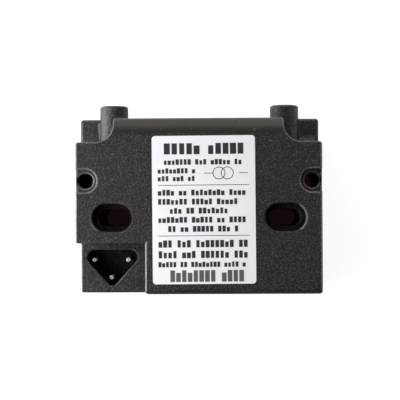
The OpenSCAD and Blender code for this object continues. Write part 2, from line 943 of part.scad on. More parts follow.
// The windings in the chambers on the right of the middle one
module secondary_winding() {
    for (i = [0:chambers - 1])
        coil_ring(flange_x(i) + flange_t, chamber_w, tube_r, tube_r + secondary_t);
}

module left_secondary_winding() {
    color("#a85a28") mirror([1, 0, 0]) secondary_winding();
}

module right_secondary_winding() {
    color("#a85a28") secondary_winding();
}

// The whole coil as one plain body
module coil_body() {
    coil_disc(-coil_l / 2, coil_l, tube_r);
    coil_disc(-primary_w / 2, primary_w, tube_r + primary_t);
    both_sides() {
        for (i = [0:chambers])
            coil_disc(flange_x(i), flange_t, former_r);
        for (i = [0:chambers - 1])
            coil_disc(flange_x(i) + flange_t, chamber_w, tube_r + secondary_t);
    }
}

// High-voltage contacts and leads

// The right contact before it is drilled: a turned rod with a collar under the floor of the tower's bore
module contact_body() {
    bar_y(tower_x, tower_z, contact_r, contact_base_y, bore_floor_y);
    bar_y(tower_x, tower_z, collar_r, tower_base_y - collar_t, tower_base_y);
}

// The right contact, with the hole for the cable's plug pin
module hv_contact() {
    difference() {
        contact_body();
        bar_y(tower_x, tower_z, contact_hole_r, bore_floor_y - contact_hole_depth, bore_floor_y + past);
    }
}

module left_hv_contact() {
    color("#c8a24a") mirror([1, 0, 0]) hv_contact();
}

module right_hv_contact() {
    color("#c8a24a") hv_contact();
}

// The right lead, from the coil former's end flange to the foot of the contact
module hv_lead() {
    translate([coil_l / 2, hv_lead_y, tower_z])
        rotate([-90, 0, 0])
            bent_wire(tower_x - coil_l / 2, contact_base_y - hv_lead_y, hv_lead_r, bend_r);
}

module left_hv_lead() {
    color("#8c2f2a") mirror([1, 0, 0]) hv_lead();
}

module right_hv_lead() {
    color("#8c2f2a") hv_lead();
}

// A wire from the coil at x, from radius r below its axis, that bends down through the board
module coil_wire(x, r) {
    translate([x, coil_axis_y - r, coil_z])
        rotate([0, 0, -90])
            mirror([0, 0, 1]) bent_wire(coil_axis_y - r - wire_y, coil_z - tail_z, wire_r, wire_bend_r);
}

module primary_leads() {
    color("#d8d4c8")
        both_sides() coil_wire(primary_lead_gap / 2, tube_r + primary_t);
}

module centre_tap_leads() {
    color("#5f7f3c")
        both_sides() coil_wire(tap_x, tube_r + secondary_t);
}

module leads() {
    left_hv_lead();
    right_hv_lead();
    primary_leads();
    centre_tap_leads();
}

housing();
inlet_insert();
line_pin();
neutral_pin();
earth_pin();
rating_label();
potting_resin();
circuit_board();
storage_capacitor();
suppression_capacitor();
varistor();
fuse_resistor();
rectifier_diodes();
gate_resistors();
thyristor();
choke_core();
choke_winding();
ferrite_rod();
coil_former();
primary_winding();
left_secondary_winding();
right_secondary_winding();
left_hv_contact();
right_hv_contact();
left_hv_lead();
right_hv_lead();
primary_leads();
centre_tap_leads();
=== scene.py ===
# %% [markdown]
# # An ignition transformer
# The object is the high-voltage transformer of a gas or oil burner: a black moulded box with two towers for
# the ignition cables, a triangular mains inlet and a white rating label. Its solids come ready made from
# the CAD frame, so the work here is on what a camera sees: rounded rims, grained plastic, tinned pins,
# printed film and the poured resin at the back.

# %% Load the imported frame
import math
import random

import bmesh
import bpy
from mathutils import Matrix, Vector


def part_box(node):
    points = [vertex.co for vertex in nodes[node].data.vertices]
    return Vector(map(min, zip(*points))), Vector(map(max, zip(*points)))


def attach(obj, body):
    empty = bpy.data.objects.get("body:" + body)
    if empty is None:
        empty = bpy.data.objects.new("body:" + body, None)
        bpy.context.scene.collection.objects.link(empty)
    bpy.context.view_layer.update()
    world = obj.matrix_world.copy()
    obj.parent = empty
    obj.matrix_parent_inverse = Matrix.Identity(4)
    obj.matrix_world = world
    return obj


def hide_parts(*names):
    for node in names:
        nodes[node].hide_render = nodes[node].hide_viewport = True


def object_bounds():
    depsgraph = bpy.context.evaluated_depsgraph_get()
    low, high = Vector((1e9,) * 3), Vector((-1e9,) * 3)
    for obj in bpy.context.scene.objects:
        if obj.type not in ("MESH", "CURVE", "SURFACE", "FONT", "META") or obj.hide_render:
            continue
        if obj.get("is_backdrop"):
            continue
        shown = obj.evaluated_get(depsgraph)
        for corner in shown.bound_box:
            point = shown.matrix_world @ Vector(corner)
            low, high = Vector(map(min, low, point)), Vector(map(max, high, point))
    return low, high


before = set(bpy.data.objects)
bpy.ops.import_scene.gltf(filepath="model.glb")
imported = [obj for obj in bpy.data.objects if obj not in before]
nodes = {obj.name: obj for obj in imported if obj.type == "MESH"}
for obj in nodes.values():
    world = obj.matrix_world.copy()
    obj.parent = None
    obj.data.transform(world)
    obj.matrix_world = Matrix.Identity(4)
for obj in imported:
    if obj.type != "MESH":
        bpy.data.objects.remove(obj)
cad_low, cad_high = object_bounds()
MM = 0.001
print(f"{len(nodes)} CAD nodes in a box of", [round(side / MM, 1) for side in cad_high - cad_low], "mm")

# %% [markdown]
# ## The camera
# The photograph looks straight down on the label from about half a metre, a little off square. A camera
# could be placed by eye, but the edges of the case fix its place: the recess floors and the low shoulders
# shrink with depth, and that gives the distance. The lens follows from the focal length in pixels of the
# square frame.

# %% Stand the camera over the label
PHOTO_PIXELS = 400
FOCAL_PIXELS = 1300
SENSOR = 36
camera_place = Vector((9.9, -11.4, 517.6)) * MM
camera_turn = [math.radians(angle) for angle in (0.513, 1.138, -0.272)]

camera_data = bpy.data.cameras.new("photo_camera")
camera_data.sensor_width = SENSOR
camera_data.lens = SENSOR * FOCAL_PIXELS / PHOTO_PIXELS
camera_data.clip_start = 10 * MM
camera = bpy.data.objects.new("photo_camera", camera_data)
camera.location = camera_place
camera.rotation_euler = camera_turn
bpy.context.scene.collection.objects.link(camera)
bpy.context.scene.camera = camera
bpy.context.scene.view_settings.view_transform = "Standard"
print(f"a {camera_data.lens:.0f} mm lens, {camera_place.z / MM:.0f} mm above the mounting plane")

# %% [markdown]
# ## Tools for materials
# Every finish is built from nodes. A few small helpers keep that short: one makes a node with its settings,
# one starts a shader group, one starts a material, and one places a group in it. Two more join masks into
# one and wire masks to the colour, the roughness and the bump that they drive. An effect that several
# finishes share is then built once.


# %% Helpers that add nodes
FLOAT = "NodeSocketFloat"


def add_node(tree, kind, values=None, **settings):
    node = tree.nodes.new(kind)
    for name, value in settings.items():
        setattr(node, name, value)
    for socket, value in (values or {}).items():
        node.inputs[socket].default_value = value
    return node


def start_group(name, inputs, outputs):
    group = bpy.data.node_groups.new(name, "ShaderNodeTree")
    for label, default in inputs:
        group.interface.new_socket(label, in_out="INPUT", socket_type=FLOAT).default_value = default
    for label in outputs:
        group.interface.new_socket(label, in_out="OUTPUT", socket_type=FLOAT)
    return group, group.nodes.new("NodeGroupInput"), group.nodes.new("NodeGroupOutput")


def start_material(name, values):
    material = bpy.data.materials.new(name)
    material.use_nodes = True
    tree = material.node_tree
    shader = tree.nodes["Principled BSDF"]
    for socket, value in values.items():
        shader.inputs[socket].default_value = value
    return material, tree, shader


def place_group(tree, group, values=None):
    return add_node(tree, "ShaderNodeGroup", values, node_tree=group)


print("node helpers ready")


# %% Helpers that mix colours and join masks
# A noise seldom leaves this part of its range
NOISE_RANGE = (0.3, 0.7)


def mix_colours(tree, dark, light):
    """A colour mix that goes from dark to light as its Factor rises."""
    mix = add_node(tree, "ShaderNodeMix", data_type="RGBA")
    mix.inputs["A"].default_value = (*dark, 1)
    mix.inputs["B"].default_value = (*light, 1)
    return mix


def between(tree, low, high, from_low=0.0, from_high=1.0):
    """Maps a mask to the range from low to high."""
    limits = {"From Min": from_low, "From Max": from_high, "To Min": low, "To Max": high}
    return add_node(tree, "ShaderNodeMapRange", limits)


def joined(tree, masks, operation):
    """One mask from some: MULTIPLY keeps what all of them cover, MAXIMUM what any of them covers."""
    whole = masks[0]
    for mask in masks[1:]:
        step = add_node(tree, "ShaderNodeMath", operation=operation)
        tree.links.new(whole, step.inputs[0])
        tree.links.new(mask, step.inputs[1])
        whole = step.outputs[0]
    return whole


def drive(tree, shader, colour, rough, relief=None):
    """Each of the last three is a mask and the node it feeds: a colour mix, a range and a bump."""
    steps = [(colour, "Factor", "Result", "Base Color"), (rough, "Value", "Result", "Roughness")]
    if relief:
        steps.append((relief, "Height", "Normal", "Normal"))
    for (mask, node), inlet, outlet, target in steps:
        tree.links.new(mask, node.inputs[inlet])
        tree.links.new(node.outputs[outlet], shader.inputs[target])


print("mask helpers ready")

# %% [markdown]
# ## Spark-eroded grain
# The mould of the case was cut by sparks, and its pits stand as fine grain on the plastic. Bump from a
# picture would do, but two noises do it without one: a cellular one for the pits and a softer one for their
# spread. Their product is the height of the grain, and the peaks of the softer one are lighter specks in
# the colour, partly the glass of the filler and partly painted glints.

# %% Build the grain group
SPREAD_PER_PIT = 0.72
GLINT_STARTS, GLINT_FULL = 0.48, 0.66
grain, grain_in, grain_out = start_group(
    "spark_eroded_grain", [("Grain per metre", 2000.0), ("Smooth", 0.0)], ["Glint", "Height"]
)
place = add_node(grain, "ShaderNodeTexCoord")
pits = add_node(grain, "ShaderNodeTexVoronoi", {"Randomness": 1.0}, feature="SMOOTH_F1")
spread = add_node(grain, "ShaderNodeTexNoise", {"Detail": 3.0, "Roughness": 0.65})
spread_scale = add_node(grain, "ShaderNodeMath", {1: SPREAD_PER_PIT}, operation="MULTIPLY")
grained_part = add_node(grain, "ShaderNodeMath", {0: 1.0}, operation="SUBTRACT")
glint = between(grain, 0.0, 1.0, GLINT_STARTS, GLINT_FULL)
wire = grain.links.new
wire(place.outputs["Object"], pits.inputs["Vector"])
wire(place.outputs["Object"], spread.inputs["Vector"])
wire(grain_in.outputs["Grain per metre"], pits.inputs["Scale"])
wire(grain_in.outputs["Grain per metre"], spread_scale.inputs[0])
wire(spread_scale.outputs[0], spread.inputs["Scale"])
wire(grain_in.outputs["Smooth"], grained_part.inputs[1])
wire(spread.outputs["Fac"], glint.inputs["Value"])
height = [pits.outputs["Distance"], spread.outputs["Fac"], grained_part.outputs[0]]
specks = [glint.outputs["Result"], grained_part.outputs[0]]
# The Glint output lightens the colour: partly the glass filler, partly painted glints
wire(joined(grain, specks, "MULTIPLY"), grain_out.inputs["Glint"])
wire(joined(grain, height, "MULTIPLY"), grain_out.inputs["Height"])
print("group", grain.name)

# %% [markdown]
# ## Handling and dust
# New plastic isn't even: it carries rubbed edges, finger marks and a little dust. The edges are lighter,
# partly from rubbing and partly as a painted highlight on their rounded rims. They are marked on the mesh
# itself when its rims are rounded, in an attribute of the face corners, and a fine noise breaks them up a
# little. Finger marks are a broad noise, and dust is the peaks of a fine one.

# %% Build the handling group
EDGE_MARK = "edge_mark"
MARK_LEFT_IN_GAPS = 0.5
GAP_NOISE, FULL_NOISE = 0.3, 0.6
DUST_STARTS, DUST_FULL = 0.74, 0.80
handling, handling_in, handling_out = start_group(
    "handling", [("Marks per metre", 60.0), ("Dust per metre", 1100.0)], ["Edge", "Smudge", "Dust"]
)
place = add_node(handling, "ShaderNodeTexCoord")
edge = add_node(handling, "ShaderNodeAttribute", attribute_name=EDGE_MARK)
breakup = add_node(handling, "ShaderNodeTexNoise", {"Scale": 1800.0, "Detail": 2.0})
mark_left = between(handling, MARK_LEFT_IN_GAPS, 1.0, GAP_NOISE, FULL_NOISE)
smudge = add_node(handling, "ShaderNodeTexNoise", {"Detail": 4.0, "Roughness": 0.55, "Distortion": 0.6})
dust = add_node(handling, "ShaderNodeTexNoise", {"Detail": 1.0})
dust_peaks = between(handling, 0.0, 1.0, DUST_STARTS, DUST_FULL)
wire = handling.links.new
for noise in (breakup, smudge, dust):
    wire(place.outputs["Object"], noise.inputs["Vector"])
wire(handling_in.outputs["Marks per metre"], smudge.inputs["Scale"])
wire(handling_in.outputs["Dust per metre"], dust.inputs["Scale"])
wire(breakup.outputs["Fac"], mark_left.inputs["Value"])
wire(dust.outputs["Fac"], dust_peaks.inputs["Value"])
# The edge mark lightens the edges partly as wear and partly as a painted highlight
rubbed_and_highlit_edge = joined(handling, [edge.outputs["Fac"], mark_left.outputs["Result"]], "MULTIPLY")
wire(rubbed_and_highlit_edge, handling_out.inputs["Edge"])
wire(smudge.outputs["Fac"], handling_out.inputs["Smudge"])
wire(dust_peaks.outputs["Result"], handling_out.inputs["Dust"])
print("group", handling.name)

# %% [markdown]
# ## Mottle
# Cast, dipped and pressed materials vary in two sizes: broad patches from mixing and pouring, and a fine
# grain. One group gives both as masks, and each finish decides what they change.

# %% Build the mottle group
mottle, mottle_in, mottle_out = start_group(
    "mottle", [("Patches per metre", 120.0), ("Grains per metre", 3000.0)], ["Patch", "Grain"]
)
place = add_node(mottle, "ShaderNodeTexCoord")
wire = mottle.links.new
for label, scale_name, detail in (("Patch", "Patches per metre", 3.0), ("Grain", "Grains per metre", 2.0)):
    noise = add_node(mottle, "ShaderNodeTexNoise", {"Detail": detail, "Roughness": 0.55})
    stretch = between(mottle, 0.0, 1.0, *NOISE_RANGE)
    wire(place.outputs["Object"], noise.inputs["Vector"])
    wire(mottle_in.outputs[scale_name], noise.inputs["Scale"])
    wire(noise.outputs["Fac"], stretch.inputs["Value"])
    wire(stretch.outputs["Result"], mottle_out.inputs[label])
print("group", mottle.name)

# %% [markdown]
# ## The case plastic
# The case is black glass-filled plastic. Its faces are grained, but the long rounded edge at the top is
# almost smooth, so a mask turns the grain down there. The mask's places come from the case itself: the
# smooth band starts where the top edge starts to round, ends at the shoulders, and fades out down the side
# of the towers. The band, the towers with their shoulders, and the rubbed edges are also shinier than the
# rest. The rubbed edges are lighter as well, partly from wear and partly as a painted highlight.

# %% Find the smooth and the shiny places
TOP_EDGE_RADIUS = 6 * MM
TOWER_RISE = 5.3 * MM
SHOULDER_WIDTH = 13.9 * MM
SHOULDER_TOP = 27 * MM
BAND_BLUR, BAND_FOOT, BAND_FADE = 0.4 * MM, 37 * MM, 4 * MM
CORNER_LOW, CORNER_TOP = 13.5 * MM, 36 * MM
TOUCH = 0.01 * MM
# Beyond every part of the object
FAR = 1.0
top_of_case = cad_high.y - TOWER_RISE
band_start = top_of_case - TOP_EDGE_RADIUS
band_side = cad_high.x - SHOULDER_WIDTH


def axes_of(tree):
    """The place on the object, split into X, Y and Z."""
    place = add_node(tree, "ShaderNodeTexCoord")
    across = add_node(tree, "ShaderNodeSeparateXYZ")
    tree.links.new(place.outputs["Object"], across.inputs[0])
    return across.outputs


def within(tree, value, low, high, blur):
    """A mask that is 1 where the value lies between low and high, with soft ends."""
    rising = between(tree, 0.0, 1.0, low - blur, low + blur)
    falling = between(tree, 1.0, 0.0, high - blur, high + blur)
    tree.links.new(value, rising.inputs["Value"])
    tree.links.new(value, falling.inputs["Value"])
    return joined(tree, [rising.outputs["Result"], falling.outputs["Result"]], "MULTIPLY")


def smooth_band(tree):
    """A mask that is 1 on the smooth top edge of the case, between its shoulders."""
    axes = axes_of(tree)
    on_edge = within(tree, axes["Y"], band_start, top_of_case + BAND_BLUR + TOUCH, BAND_BLUR)
    between_shoulders = within(tree, axes["X"], -band_side, band_side, TOUCH)
    near_front = within(tree, axes["Z"], BAND_FOOT, FAR, BAND_FADE)
    return joined(tree, [on_edge, between_shoulders, near_front], "MULTIPLY")


def tower_corners(tree):
    """A mask that is 1 on the towers and the shoulders below them."""
    axes = axes_of(tree)
    high_up = within(tree, axes["Y"], CORNER_LOW, FAR, TOUCH)
    set_back = within(tree, axes["Z"], -FAR, CORNER_TOP, BAND_BLUR)
    return joined(tree, [high_up, set_back], "MULTIPLY")


print(f"the smooth band starts {band_start / MM:.1f} mm up the case")

# %% Mix the case plastic
# The lighter grey of the grain's specks is partly the glass filler and partly painted glints
BLACK, GLASS_AND_PAINTED_GLINT_GREY = (0.0022, 0.0013, 0.0013), (0.056, 0.0500, 0.0510)
# The lighter grey of the marked edges is partly wear and partly a painted highlight
RUBBED_AND_HIGHLIGHT_GREY, DUST_GREY = (0.42, 0.415, 0.415), (0.13, 0.125, 0.12)
GRAINS_PER_METRE, GRAIN_DEPTH = 2500.0, 0.32 * MM
CASE_ROUGHNESS, SHINY_PLACES = (0.62, 0.70), -0.20


def black_plastic(name, banded):
    material, tree, shader = start_material(name, {"IOR": 1.42})
    grained = place_group(tree, grain, {"Grain per metre": GRAINS_PER_METRE})
    handled = place_group(tree, handling)
    body = mix_colours(tree, BLACK, GLASS_AND_PAINTED_GLINT_GREY)
    rubbed_and_highlit = mix_colours(tree, BLACK, RUBBED_AND_HIGHLIGHT_GREY)
    dusty = mix_colours(tree, BLACK, DUST_GREY)
    rough = between(tree, *CASE_ROUGHNESS, *NOISE_RANGE)
    sleek = add_node(tree, "ShaderNodeMath", {1: SHINY_PLACES}, operation="MULTIPLY_ADD")
    bump = add_node(tree, "ShaderNodeBump", {"Strength": 1.0, "Distance": GRAIN_DEPTH})
    wire = tree.links.new
    wire(grained.outputs["Glint"], body.inputs["Factor"])
    wire(body.outputs["Result"], rubbed_and_highlit.inputs["A"])
    wire(handled.outputs["Edge"], rubbed_and_highlit.inputs["Factor"])
    wire(rubbed_and_highlit.outputs["Result"], dusty.inputs["A"])
    wire(handled.outputs["Dust"], dusty.inputs["Factor"])
    wire(dusty.outputs["Result"], shader.inputs["Base Color"])
    wire(grained.outputs["Height"], bump.inputs["Height"])
    wire(bump.outputs["Normal"], shader.inputs["Normal"])
    shiny = handled.outputs["Edge"]
    if banded:
        band = smooth_band(tree)
        wire(band, grained.inputs["Smooth"])
        shiny = joined(tree, [band, tower_corners(tree), shiny], "MAXIMUM")
    wire(handled.outputs["Smudge"], rough.inputs["Value"])
    wire(rough.outputs["Result"], sleek.inputs[2])
    wire(shiny, sleek.inputs[0])
    wire(sleek.outputs[0], shader.inputs["Roughness"])
    return material


case_plastic = black_plastic("case_plastic", banded=True)
inlet_plastic = black_plastic("inlet_plastic", banded=False)
print("finishes", case_plastic.name, inlet_plastic.name)

# %% [markdown]
# ## Rounding the moulded rims
# In the CAD the rims of the recesses, the shoulders and the tower mouths are sharp, while a moulded rim has
# a radius of about half a millimetre that catches the light. The CAD mesh itself stays as it is, so a
# merged copy is made: its triangles are joined back into flat faces, its outside rims are picked by their
# place and by the way their two faces look, and each kind gets a bevel of its own. The rims that hands and
# tools touch are then marked as worn, and the mark lightens them, partly as wear and partly as a painted
# highlight.


# %% Helpers that copy a node and round its rims
MERGE_DISTANCE = 0.002 * MM
FLAT_ANGLE = math.radians(1)
SHARP_ANGLE = math.radians(50)
SMOOTH_ANGLE = math.radians(32)


def merged_copy(node):
    shape = bmesh.new()
    shape.from_mesh(nodes[node].data)
    bmesh.ops.remove_doubles(shape, verts=shape.verts, dist=MERGE_DISTANCE)
    bmesh.ops.dissolve_limit(
        shape, angle_limit=FLAT_ANGLE, use_dissolve_boundaries=False, verts=shape.verts, edges=shape.edges
    )
    shape.normal_update()
    return shape


def sharp_rims(shape, chosen):
    """The sharp outward edges for which chosen(edge, its middle) is true."""
    return [
        edge
        for edge in shape.edges
        if len(edge.link_faces) == 2
        and edge.is_convex
        and edge.calc_face_angle(0) > SHARP_ANGLE
        and chosen(edge, (edge.verts[0].co + edge.verts[1].co) / 2)
    ]


def round_rims(shape, rims, radius, segments=3):
    made = bmesh.ops.bevel(
        shape,
        geom=rims,
        offset=radius,
        offset_type="OFFSET",
        segments=segments,
        profile=0.5,
        affect="EDGES",
        clamp_overlap=False,
        material=-1,
    )
    shape.normal_update()
    print(f"  {len(rims)} rim edges rounded to {radius / MM:.2f} mm with {len(made['faces'])} faces")
    return made["faces"]


def mark_worn_and_highlit(shape, faces, wear_and_highlight):
    """Writes each face's mark of wear and painted highlight into its corners, where the handling group
    reads it.
    """
    mark = shape.loops.layers.float.get(EDGE_MARK) or shape.loops.layers.float.new(EDGE_MARK)
    for face in faces:
        for corner in face.loops:
            corner[mark] = wear_and_highlight
    print(f"  {len(faces)} faces worn to {wear_and_highlight}")


def finish_piece(shape, name, material, replaced=()):
    for face in shape.faces:
        face.smooth = True
    for edge in shape.edges:
        if len(edge.link_faces) == 2:
            edge.smooth = edge.calc_face_angle(0) < SMOOTH_ANGLE
    mesh = bpy.data.meshes.new(name)
    shape.to_mesh(mesh)
    shape.free()
    mesh.materials.append(material)
    piece = bpy.data.objects.new(name, mesh)
    bpy.context.scene.collection.objects.link(piece)
    even = piece.modifiers.new("even_shading", "WEIGHTED_NORMAL")
    even.keep_sharp = True
    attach(piece, "root")
    if replaced:
        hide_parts(*replaced)
    print(name, len(mesh.polygons), "faces")


# %% Tell the housing's rims apart
TILTED, LEANS_UP, ALONG_AXIS = 0.001, 0.2, 0.9
RIMS_LOW = SHOULDER_TOP + 6 * MM
NOTCH_LOW, HOLE_RECESS_X = 12 * MM, 36.5 * MM
TOWER_X, TOWER_Z, BORE_RADIUS = 32 * MM, 28 * MM, 3.7 * MM


def at_tower_mouth(middle):
    return middle.y > cad_high.y - MM


def round_tower_mouth(edge, middle):
    from_axis = math.hypot(abs(middle.x) - TOWER_X, middle.z - TOWER_Z)
    return at_tower_mouth(middle) and from_axis > BORE_RADIUS + MM


def already_round(face):
    """True on the strips of the side edges and the insert's corner, which the CAD has rounded itself."""
    leans = abs(face.normal.x)
    if face.calc_center_median().y < NOTCH_LOW:
        leans = max(leans, abs(face.normal.y))
    return TILTED < face.normal.z < 1 - TILTED and leans > TILTED


def above_shoulders(edge, middle):
    faces_out = any(face.normal.z > LEANS_UP or face.normal.y > ALONG_AXIS for face in edge.link_faces)
    sharp = not any(already_round(face) for face in edge.link_faces)
    return middle.z > RIMS_LOW and faces_out and sharp and not at_tower_mouth(middle)


def round_hole_rim(edge, middle):
    return above_shoulders(edge, middle) and middle.y < NOTCH_LOW and abs(middle.x) > HOLE_RECESS_X


def round_slot_rim(edge, middle):
    return above_shoulders(edge, middle) and middle.y < NOTCH_LOW and abs(middle.x) < HOLE_RECESS_X


def round_notch_rim(edge, middle):
    if at_tower_mouth(middle):
        return not round_tower_mouth(edge, middle)
    return above_shoulders(edge, middle) and middle.y > NOTCH_LOW


def round_back(edge, middle):
    return max(corner.co.z for corner in edge.verts) < TOUCH


# Each kind of rim: what picks it, its radius and its mark of wear and painted highlight
RIMS = (
    (round_tower_mouth, 0.9 * MM, 0.02),
    (round_hole_rim, 0.7 * MM, 0.20),
    (round_slot_rim, 0.5 * MM, 0.01),
    (round_notch_rim, 0.45 * MM, 0.20),
    (round_back, 0.3 * MM, 0.06),
)
print(len(RIMS), "kinds of rim on the housing")

# %% Tell apart the edges with wear and painted highlight
SIDE_EDGE_RADIUS, SIDE_EDGE_TILT, ON_SIDE = 0.9 * MM, 0.3, 0.99
OUTER_X = 40 * MM
# The marks of the outer edges and of the edge beside the inlet are partly wear and partly a painted
# highlight
OUTER_WEAR_AND_HIGHLIGHT, STEP_WEAR_AND_HIGHLIGHT = 0.45, 0.35
_, insert_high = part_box("inlet_insert")


def rounds_over(face, top):
    """True on the rounded edges that lead from the face at height top down to the left or the right."""
    tilted = SIDE_EDGE_TILT < abs(face.normal.x) < ON_SIDE and face.normal.z > 0
    return tilted and face.calc_center_median().z > top - SIDE_EDGE_RADIUS


def on_outer_edge(face, top):
    return rounds_over(face, top) and abs(face.calc_center_median().x) > OUTER_X


def on_step_edge(face):
    """True on the edge of the housing that stands beside the inlet."""
    middle = face.calc_center_median()
    beside = middle.y < insert_high.y and abs(middle.x - insert_high.x) < MM
    return rounds_over(face, cad_high.z) and beside


print(f"edges past {OUTER_X / MM:.0f} mm are worn by {OUTER_WEAR_AND_HIGHLIGHT}, the one beside the inlet by {STEP_WEAR_AND_HIGHLIGHT}")

# %% Round the housing
housing = merged_copy("housing")
for chosen, radius, wear_and_highlight in RIMS:
    mark_worn_and_highlit(housing, round_rims(housing, sharp_rims(housing, chosen), radius), wear_and_highlight)
mark_worn_and_highlit(housing, [face for face in housing.faces if on_outer_edge(face, cad_high.z)], OUTER_WEAR_AND_HIGHLIGHT)
mark_worn_and_highlit(housing, [face for face in housing.faces if on_step_edge(face)], STEP_WEAR_AND_HIGHLIGHT)
finish_piece(housing, "moulded_housing", case_plastic, ["housing"])

# %% [markdown]
# ## The mains inlet
# The inlet is a separate moulding that closes the case at its lower left. A plug slides into its triangular
# socket, so the socket's rim is rounded as well. Only the edges that lie in the insert's face are taken.

# %% Round the socket's rim
# The marks of the socket rim and of the inlet's outer edge are partly wear and partly a painted highlight
SOCKET_RIM_RADIUS, SOCKET_WEAR_AND_HIGHLIGHT, INLET_WEAR_AND_HIGHLIGHT = 0.5 * MM, 0.04, 0.5


def round_socket(edge, middle):
    return min(corner.co.z for corner in edge.verts) > SHOULDER_TOP - TOUCH


insert = merged_copy("inlet_insert")
socket_rim = round_rims(insert, sharp_rims(insert, round_socket), SOCKET_RIM_RADIUS, segments=4)
mark_worn_and_highlit(insert, socket_rim, SOCKET_WEAR_AND_HIGHLIGHT)
mark_worn_and_highlit(insert, [face for face in insert.faces if on_outer_edge(face, SHOULDER_TOP)], INLET_WEAR_AND_HIGHLIGHT)
finish_piece(insert, "mains_inlet", inlet_plastic, ["inlet_insert"])

# %% [markdown]
# ## The poured resin
# The open back of the case is filled with resin. Before it sets, the liquid creeps up every wall by surface
# tension, so its face dips between the walls. Three small insets, each a little deeper than the last, curve
# the flat face of the solid in that way, and its gloss and a few burst bubbles come from the material.

# %% Mix the resin
RESIN_DARK, RESIN_LIGHT = (0.010, 0.008, 0.007), (0.026, 0.021, 0.019)
RESIN_ROUGHNESS = (0.14, 0.30)
CRATER_FLOOR, CRATER_RIM = 0.05, 0.12
RESIN_COAT = {"IOR": 1.54, "Coat Weight": 0.25, "Coat Roughness": 0.08}

resin, tree, shader = start_material("potting_resin", RESIN_COAT)
mottled = place_group(tree, mottle, {"Patches per metre": 55.0, "Grains per metre": 1400.0})
place = add_node(tree, "ShaderNodeTexCoord")
body = mix_colours(tree, RESIN_DARK, RESIN_LIGHT)
rough = between(tree, *RESIN_ROUGHNESS)
bubbles = add_node(tree, "ShaderNodeTexVoronoi", {"Scale": 190.0, "Randomness": 1.0})
craters = between(tree, 0.0, 1.0, CRATER_FLOOR, CRATER_RIM)
swell = add_node(tree, "ShaderNodeBump", {"Strength": 0.35, "Distance": 0.5 * MM})
crater_bump = add_node(tree, "ShaderNodeBump", {"Strength": 0.9, "Distance": 0.25 * MM})
wire = tree.links.new
wire(mottled.outputs["Patch"], swell.inputs["Height"])
wire(place.outputs["Object"], bubbles.inputs["Vector"])
wire(bubbles.outputs["Distance"], craters.inputs["Value"])
wire(swell.outputs["Normal"], crater_bump.inputs["Normal"])
patch = mottled.outputs["Patch"]
drive(tree, shader, (patch, body), (patch, rough), (craters.outputs["Result"], crater_bump))
print("finish", resin.name)

# %% Draw the resin up the walls
# Each step: its width along the resin's face and how far it dips
MENISCUS_STEPS = ((0.15 * MM, 0.12 * MM), (0.25 * MM, 0.08 * MM), (0.40 * MM, 0.04 * MM))
poured = merged_copy("potting_resin")
surface = min(corner.co.z for corner in poured.verts)
free_face = [
    face
    for face in poured.faces
    if face.normal.z < -ALONG_AXIS and face.calc_center_median().z < surface + TOUCH
]
for width, dip in MENISCUS_STEPS:
    bmesh.ops.inset_region(
        poured, faces=free_face, use_boundary=True, use_even_offset=True, thickness=width, depth=-dip
    )
print(f"the resin starts {surface / MM:.1f} mm inside the case,", len(free_face), "free faces")
finish_piece(poured, "poured_resin", resin, ["potting_resin"])

# %% [markdown]
# ## The rating label
# The label is a satin white film with dark print: rows of plain blocks in a layout of their own, a ruled
# table and the common drawing symbol of a transformer. An image would do for the print, but it would blur
# close up. So the print is real geometry of a few hundredths of a millimetre, which stays sharp from any
# distance, and the film is thinned by that much to keep the label's height.

# %% Mix the film and the inks
SATIN_COAT = {"Coat Weight": 0.3, "Coat Roughness": 0.25}
FILM_DARK, FILM_LIGHT = (0.84, 0.85, 0.895), (0.88, 0.89, 0.93)
DUST_ON_FILM = (0.55, 0.54, 0.53)
FILM_ROUGHNESS, INK_ROUGHNESS = (0.34, 0.48), (0.32, 0.5)

film, tree, shader = start_material("label_film", SATIN_COAT)
mottled = place_group(tree, mottle, {"Patches per metre": 45.0, "Grains per metre": 5200.0})
handled = place_group(tree, handling, {"Marks per metre": 90.0, "Dust per metre": 1500.0})
sheet = mix_colours(tree, FILM_DARK, FILM_LIGHT)
specks = mix_colours(tree, FILM_LIGHT, DUST_ON_FILM)
rough = between(tree, *FILM_ROUGHNESS, *NOISE_RANGE)
bump = add_node(tree, "ShaderNodeBump", {"Strength": 0.12, "Distance": 0.02 * MM})
tree.links.new(mottled.outputs["Patch"], sheet.inputs["Factor"])
tree.links.new(sheet.outputs["Result"], specks.inputs["A"])
dust, smudge = (handled.outputs[label] for label in ("Dust", "Smudge"))
drive(tree, shader, (dust, specks), (smudge, rough), (mottled.outputs["Grain"], bump))


def ink(name, dark, light):
    material, tree, shader = start_material(name, SATIN_COAT)
    mottled = place_group(tree, mottle, {"Patches per metre": 500.0, "Grains per metre": 6500.0})
    body = mix_colours(tree, dark, light)
    rough = between(tree, *INK_ROUGHNESS)
    drive(tree, shader, (mottled.outputs["Grain"], body), (mottled.outputs["Patch"], rough))
    return material


black_ink = ink("black_ink", (0.008, 0.008, 0.010), (0.030, 0.030, 0.034))
grey_ink = ink("grey_ink", (0.060, 0.060, 0.070), (0.120, 0.120, 0.135))
print("finishes", film.name, black_ink.name, grey_ink.name)

# %% Thin the film
PRINT_HEIGHT = 0.03 * MM
label = merged_copy("rating_label")
label_top = max(corner.co.z for corner in label.verts)
label_low, label_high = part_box("rating_label")
label_middle = (label_low + label_high) / 2
longest = max(label.edges, key=lambda edge: edge.calc_length())
side = longest.verts[1].co - longest.verts[0].co
label_turn = math.atan2(-side.x * math.copysign(1, side.y), abs(side.y))
upper = [corner for corner in label.verts if corner.co.z > label_top - TOUCH]
bmesh.ops.translate(label, vec=(0, 0, -PRINT_HEIGHT), verts=upper)
finish_piece(label, "label_sheet", film, ["rating_label"])
print(f"label turned by {math.degrees(label_turn):.2f} degrees about", label_middle / MM)

